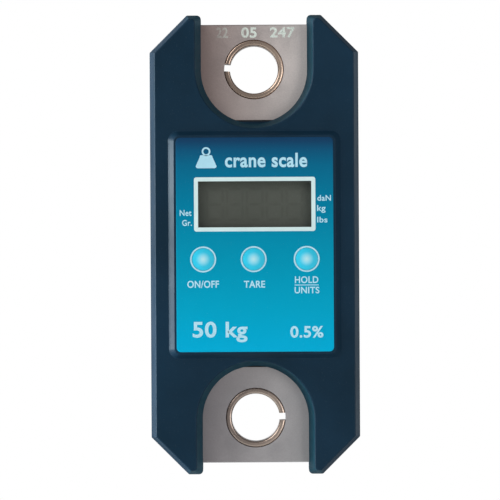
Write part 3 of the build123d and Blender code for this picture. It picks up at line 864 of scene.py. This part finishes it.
def model_key_ring(node):
    centre = key_centres[node]
    clear_selection()
    bpy.ops.mesh.primitive_circle_add(
        vertices=96,
        radius=key_ring_radius,
        fill_type="NGON",
        location=(centre.x, ink_y, centre.z),
        rotation=to_reader,
    )
    ring = started("ring_" + node)
    bpy.ops.mesh.select_all(action="SELECT")
    ring_from_face(key_ring_width)
    complete(ring, pale_ink, "casing", "overlay_film")


for node in key_centres:
    model_key_ring(node)

display_frame = rounded_plate(
    "display_frame", frame_width, frame_height, ink_y, z=window_middle.z, rounding=frame_rounding
)
push(ink_thickness)
bpy.ops.mesh.select_all(action="SELECT")
bpy.ops.mesh.normals_make_consistent(inside=False)
cut_away(display_frame, block("frame_bar", opening_low, opening_high))
complete(display_frame, frame_ink, "casing", "overlay_film", angle=20)

# %% [markdown]
# **Words.** Text is set with the built-in sans font, thickened a little, made into a mesh and then
# fitted to the box that the legend takes on the face, so each word has its true size and place.
# The boxes are millimetres from the middle of the face.

# %% Words


letter_size = 10 * MM


def letters(
    name, words, left, right, low, high,
    material=pale_ink, y=ink_y, weight=0.022, slot="overlay_film", turn=0.0,
):
    """A word as thin mesh, fitted to left..right and low..high in millimetres."""
    clear_selection()
    bpy.ops.object.text_add(rotation=(math.radians(90), 0, turn))
    text = bpy.context.object
    text.data.body = words
    text.data.size = letter_size
    text.data.offset = weight * letter_size
    text.data.space_character = 1.06
    text.data.extrude = ink_thickness / 2
    text.data.resolution_u = 6
    bpy.ops.object.convert(target="MESH")
    piece = started(name)
    bpy.ops.object.mode_set(mode="OBJECT")
    across = [corner.co.x for corner in piece.data.vertices]
    upward = [corner.co.z for corner in piece.data.vertices]
    wide = (right - left) * MM / (max(across) - min(across))
    tall = (high - low) * MM / (max(upward) - min(upward))
    piece.scale = (wide, 1, tall)
    to_left = left * MM - min(across) * wide
    to_low = low * MM - min(upward) * tall
    piece.location = (to_left, y + ink_thickness / 2, to_low)
    bpy.ops.object.transform_apply(location=True, rotation=True, scale=True)
    complete(piece, material, "casing", slot, angle=30)


face_middle = case_middle.z / MM
legends = {
    "word_title": ("crane scale", -9.8, 17.5, 25.6, 30.4, 0.026),
    "word_net": ("Net", -24.9, -21.0, 9.6, 11.6, 0.018),
    "word_gross": ("Gr.", -24.1, -20.9, 6.3, 8.3, 0.018),
    "word_decanewton": ("daN", 20.8, 25.3, 14.4, 16.3, 0.018),
    "word_kilogram": ("kg", 20.7, 23.5, 10.4, 13.0, 0.018),
    "word_pound": ("lbs", 20.7, 24.1, 7.2, 9.1, 0.018),
    "word_on_off": ("ON/OFF", -22.5, -12.0, -14.3, -11.9, 0.022),
    "word_tare": ("TARE", -3.7, 3.3, -14.3, -12.0, 0.022),
    "word_hold": ("HOLD", 13.2, 21.0, -12.9, -10.6, 0.022),
    "word_units": ("UNITS", 13.1, 21.3, -16.3, -14.1, 0.022),
    "word_capacity": ("50 kg", -20.8, -2.6, -32.4, -25.5, 0.024),
    "word_accuracy": ("0.5%", 11.6, 22.6, -31.0, -27.1, 0.024),
}
for name, (words, left, right, low, high, weight) in legends.items():
    letters(name, words, left, right, face_middle + low, face_middle + high, weight=weight)

line_left, line_right = 13.1 * MM, 21.1 * MM
line_middle = (face_middle - 13.5) * MM
line_half_height = 0.13 * MM
underline = block(
    "hold_underline",
    (line_left, ink_y, line_middle - line_half_height),
    (line_right, print_y, line_middle + line_half_height),
)
complete(underline, pale_ink, "casing", "overlay_film")

# %% [markdown]
# **Title sign.** Beside the title stands a plain picture of a test weight: a block with sloping
# sides under a ring. A plate is narrowed at its top corners, and the ring is a disc with its middle
# taken out.

# %% Weight sign
sign_left, sign_right = -19.5 * MM, -12.6 * MM
sign_low, sign_high = (face_middle + 25.4) * MM, (face_middle + 32.4) * MM
sign_middle = (sign_left + sign_right) / 2
block_share, top_share = 0.62, 0.62
block_high = sign_low + block_share * (sign_high - sign_low)
sign_rounding = 0.7 * MM
sign_ring_radius, sign_ring_width = 1.45 * MM, 0.55 * MM
sign = rounded_plate(
    "weight_sign",
    sign_right - sign_left,
    block_high - sign_low,
    ink_y,
    x=sign_middle,
    z=(sign_low + block_high) / 2,
    rounding=sign_rounding,
)
pick(sign, lambda point: point.z > block_high - sign_rounding - 0.1 * MM, "VERT")
bpy.ops.transform.resize(value=(top_share, 1, 1), center_override=(sign_middle, ink_y, block_high))
bpy.ops.mesh.select_all(action="SELECT")
push(ink_thickness)
complete(sign, pale_ink, "casing", "overlay_film")
clear_selection()
bpy.ops.mesh.primitive_circle_add(
    vertices=48,
    radius=sign_ring_radius,
    fill_type="NGON",
    location=(sign_middle, ink_y, sign_high - sign_ring_radius),
    rotation=to_reader,
)
sign_ring = started("weight_sign_ring")
bpy.ops.mesh.select_all(action="SELECT")
ring_from_face(sign_ring_width)
complete(sign_ring, pale_ink, "casing", "overlay_film")

# %% [markdown]
# **Etched figures.** Three groups of figures are etched along the top of the upper eye. They are
# text like the print, laid on the metal's face, with the etched finish.

# %% Etched figures
etched_y = cell_front - 0.012 * MM
etched_low, etched_high = 10.6, 14.15
etched_weight = 0.028
for name, words, left, right in (
    ("etched_batch", "22", -12.6, -8.6),
    ("etched_month", "05", -4.2, 1.0),
    ("etched_serial", "247", 5.4, 13.8),
):
    letters(
        name, words, left, right, etched_low, etched_high,
        etched_marks, etched_y, etched_weight, "cell_metal",
    )

# %% [markdown]
# **Display figures.** A switched-off display shows its segments as faint shadows. One segment is a
# six-cornered disc drawn out into a bar, and the others are copies of its mesh, turned and moved.

# %% Display segments
segment_length, segment_width = 4.6 * MM, 0.85 * MM
segment_gap = 0.25 * MM
segment_thickness = 0.02 * MM
hexagon_height = 0.866
digit_pitch = 6.6 * MM
digit_count = 5
segment_y = glass_low.y - 0.03 * MM


def model_segment():
    clear_selection()
    bpy.ops.mesh.primitive_circle_add(vertices=6, radius=0.5, fill_type="NGON", rotation=to_reader)
    segment = started("segment")
    pick(segment, lambda point: abs(point.x) < 0.4, "VERT")
    bpy.ops.transform.resize(value=(1.6, 1, 1), center_override=(0, 0, 0))
    bpy.ops.mesh.select_all(action="SELECT")
    size = (segment_length, 1, segment_width / hexagon_height)
    bpy.ops.transform.resize(value=size, center_override=(0, 0, 0))
    push(segment_thickness)
    bpy.ops.mesh.select_all(action="SELECT")
    bpy.ops.mesh.normals_make_consistent(inside=False)
    bpy.ops.object.mode_set(mode="OBJECT")
    return segment


def copied(piece, name, place, turn=0.0):
    """A copy with its own mesh, turned about Y and moved, with both put into the mesh."""
    copy = piece.copy()
    copy.data = piece.data.copy()
    copy.name = name
    copy.data.name = name
    bpy.context.scene.collection.objects.link(copy)
    copy.rotation_euler = (0, turn, 0)
    copy.location = place
    clear_selection()
    copy.select_set(True)
    bpy.context.view_layer.objects.active = copy
    bpy.ops.object.transform_apply(location=True, rotation=True, scale=True)
    return copy


def joined(name, parts):
    """Several pieces as one object."""
    clear_selection()
    for part in parts:
        part.select_set(True)
    bpy.context.view_layer.objects.active = parts[0]
    bpy.ops.object.join()
    whole = bpy.context.object
    whole.name = name
    whole.data.name = name
    return whole


segment = model_segment()
half = segment_length / 2 + segment_gap
level_bars = [(0, 2 * half, 0), (0, 0, 0), (0, -2 * half, 0)]
upright_bars = [(-half, half, 1), (half, half, 1), (-half, -half, 1), (half, -half, 1)]
bars = level_bars + upright_bars
figures = []
for digit in range(digit_count):
    middle = (digit - (digit_count - 1) / 2) * digit_pitch
    for number, (across, up, upright) in enumerate(bars):
        place = (middle + across, segment_y, window_middle.z + up)
        figures.append(copied(segment, f"segment_{digit}_{number}", place, upright * math.pi / 2))
bpy.data.objects.remove(segment)
display_figures = joined("display_figures", figures)
complete(display_figures, display_segment, "casing", "display_glass")

# %% [markdown]
# **Batteries.** Each cell is a can in a printed jacket that is shrunk over its shoulders, with a
# copper-coloured band at the positive end. A cylinder gets rounded shoulders, both ends are inset
# to show bare metal, and the positive end is drawn out into the nub.

# %% Batteries
nub_height = 0.9 * MM
band_length = 12 * MM
jacket_lap = 0.7 * MM


def model_battery(node, up):
    low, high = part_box(node)
    middle = (low + high) / 2
    radius = (high.x - low.x) / 2
    base, shoulder = (low.z, high.z - nub_height) if up > 0 else (low.z + nub_height, high.z)
    clear_selection()
    place = (middle.x, middle.y, (base + shoulder) / 2)
    bpy.ops.mesh.primitive_cylinder_add(vertices=64, radius=radius, depth=shoulder - base, location=place)
    battery = started("cell_" + node)
    front_end = shoulder if up > 0 else base
    for finish in (jacket_dark, jacket_band, tin_plate):
        battery.data.materials.append(finish)
    band_edge = front_end - up * band_length
    bpy.ops.mesh.select_all(action="SELECT")
    bpy.ops.mesh.bisect(plane_co=(0, 0, band_edge), plane_no=(0, 0, 1))
    for end in (base, shoulder):
        pick(battery, lambda point: abs(point.z - end) < 0.01 * MM)
        bpy.ops.mesh.bevel(offset=0.5 * MM, segments=4, affect="EDGES")
        pick(battery, lambda point: abs(point.z - end) < 0.001 * MM)
        bpy.ops.mesh.inset(thickness=jacket_lap)
        bpy.ops.mesh.inset(thickness=0.15 * MM, depth=-0.12 * MM)

    def off_centre(point):
        return math.hypot(point.x - middle.x, point.y - middle.y)

    pick(battery, lambda point: abs(point.z - front_end) < 0.13 * MM and off_centre(point) < 0.2 * MM)
    bpy.ops.mesh.inset(thickness=1.7 * MM)
    bpy.ops.mesh.inset(thickness=0.0001 * MM, depth=nub_height)
    bpy.ops.object.mode_set(mode="OBJECT")
    for face in battery.data.polygons:
        off_axis = off_centre(face.center)
        at_end = face.center.z > shoulder - 0.2 * MM or face.center.z < base + 0.2 * MM
        if at_end and off_axis < radius - 1.2 * MM:
            face.material_index = 2
        elif (face.center.z - band_edge) * up > 0:
            face.material_index = 1
    complete(battery, jacket_dark, "casing", "battery_jacket", node)


for node, up in (("battery_left", 1), ("battery_right", -1)):
    model_battery(node, up)

# %% [markdown]
# ## Back of the case
# A small rating label is stuck between the upper notch and the battery door. It is a thin plate
# with rounded corners, and its figures are text that is turned to face the other way.

# %% Rating label
label_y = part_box("rear_cover")[1].y
label_thickness = 0.08 * MM
label_low, label_high = -31.0, -22.6
label_half_width = 17.0
label = rounded_plate(
    "rating_label",
    2 * label_half_width * MM,
    (label_high - label_low) * MM,
    label_y,
    z=(label_low + label_high) / 2 * MM,
    rounding=1.0 * MM,
)
push(label_thickness)
complete(label, label_stock, "casing", "case_plastic", angle=20)
rating_lines = {
    "rating_kind": ("CRANE SCALE", 1.5, 15.0, -25.3, -23.6),
    "rating_load": ("MAX 50 kg", 3.8, 15.0, -28.0, -26.2),
    "rating_supply": ("2 x AAA 1.5 V", -15.0, -0.5, -28.0, -26.2),
    "rating_error": ("0.5% F.S.", 5.8, 15.0, -30.3, -28.9),
}
rating_y = label_y + label_thickness
rating_weight = 0.01
for name, (words, left, right, low, high) in rating_lines.items():
    letters(
        name, words, left, right, low, high,
        label_ink, rating_y, rating_weight, "case_plastic", math.pi,
    )

# %% [markdown]
# **Door details.** Inside the door two rubber pads hold the batteries down, and a small raised
# arrow by the thumb grip shows which way it opens. Both ride on the door, so they swing with it.

# %% Door pads and arrow
door_low, door_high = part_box("battery_door")
door_thickness = 1.9 * MM
door_inner = door_high.y - door_thickness
pad_half_width, pad_thickness = 3.6 * MM, 1.1 * MM
pad_high, pad_low = -46.0 * MM, -72.0 * MM
pad_rounding = 0.5 * MM
battery_offset = 23.4 * MM
arrow_radius, arrow_rounding, arrow_height = 2.2 * MM, 0.35 * MM, 0.12 * MM
arrow_above_edge = 13.5 * MM


def model_door_pad(name, middle):
    low = (middle - pad_half_width, door_inner - pad_thickness, pad_low)
    high = (middle + pad_half_width, door_inner, pad_high)
    pad = block(name, low, high)
    bpy.ops.object.mode_set(mode="OBJECT")
    round_edges(pad, pad_rounding, segments=4)
    complete(pad, black_rubber, "battery_lid", "black_rubber")


model_door_pad("door_pad_left", -battery_offset)
model_door_pad("door_pad_right", battery_offset)

clear_selection()
bpy.ops.mesh.primitive_circle_add(
    vertices=3,
    radius=arrow_radius,
    fill_type="NGON",
    location=(0, door_high.y, door_low.z + arrow_above_edge),
    rotation=(math.radians(-90), 0, 0),
)
arrow = started("door_arrow")
bpy.ops.mesh.select_all(action="SELECT")
bpy.ops.mesh.bevel(offset=arrow_rounding, segments=4, affect="VERTICES")
bpy.ops.mesh.select_all(action="SELECT")
push(arrow_height)
complete(arrow, case_plastic, "battery_lid", "case_plastic", angle=20)

# %% [markdown]
# ## Light and camera
# A long lens from over a metre away flattens the view like a catalogue picture. The floor lies
# below the hanging scale, and the world is white to the camera but dim to the light, so the dark
# case doesn't wash out.

# %% Floor, lights and camera
floor_drop = 0.16
floor_size = 1.4
bpy.ops.object.select_all(action="DESELECT")
bpy.ops.mesh.primitive_plane_add(size=floor_size, location=(0, 0, case_low.z - floor_drop))
floor = bpy.context.object
floor.name = "floor"
pale_floor = make_varied("pale_floor", (0.8, 0.8, 0.79, 1), (0.77, 0.77, 0.76, 1), 0.7, cloud=4.0)
floor.data.materials.append(pale_floor)


def area_light(name, place, size, power, colour=(1, 1, 1)):
    """A square soft light that looks at the scale's middle."""
    data = bpy.data.lights.new(name, "AREA")
    data.size = size
    data.energy = power
    data.color = colour
    light = bpy.data.objects.new(name, data)
    bpy.context.scene.collection.objects.link(light)
    light.location = place
    aim = Vector((0, 0, case_middle.z)) - Vector(place)
    light.rotation_euler = aim.to_track_quat("-Z", "Y").to_euler()


area_light("front_high_left", (-0.75, -0.8, 0.55), 0.6, 5.6)
area_light("front_right", (0.75, -1.0, -0.15), 0.6, 5.0)
area_light("side_strip_left", (-1.0, -0.03, case_middle.z + 0.02), 0.32, 18.0, (0.84, 0.96, 1.0))
area_light("back_left", (-0.55, 0.9, 0.1), 0.7, 2.2, (0.8, 0.88, 1.0))
area_light("back_right", (0.75, 0.85, 0.0), 0.7, 2.2, (0.8, 0.92, 1.0))

world = bpy.data.worlds.new("studio")
bpy.context.scene.world = world
world.use_nodes = True
sky = world.node_tree
ray = add_node(sky, "ShaderNodeLightPath")
seen = add_node(sky, "ShaderNodeBackground")
seen.inputs["Color"].default_value = (1, 1, 1, 1)
seen.inputs["Strength"].default_value = 1.0
lighting = sky.nodes["Background"]
lighting.inputs["Color"].default_value = (0.9, 0.95, 1.0, 1)
lighting.inputs["Strength"].default_value = 0.35
choice = add_node(sky, "ShaderNodeMixShader")
sky.links.new(ray.outputs["Is Camera Ray"], choice.inputs["Fac"])
sky.links.new(lighting.outputs["Background"], choice.inputs[1])
sky.links.new(seen.outputs["Background"], choice.inputs[2])
sky.links.new(choice.outputs["Shader"], sky.nodes["World Output"].inputs["Surface"])
bpy.context.scene.view_settings.view_transform = "Standard"

camera_distance = 1.3
picture_width = 167.85 * MM
camera_side, camera_drop = -1.64 * MM, 1.8 * MM
camera_roll = math.radians(0.31)
camera_data = bpy.data.cameras.new("camera")
camera_data.lens = camera_data.sensor_width * camera_distance / picture_width
camera = bpy.data.objects.new("camera", camera_data)
bpy.context.scene.collection.objects.link(camera)
camera.location = (camera_side, -camera_distance, case_middle.z - camera_drop)
camera.rotation_euler = (math.radians(90), camera_roll, 0)
bpy.context.scene.camera = camera
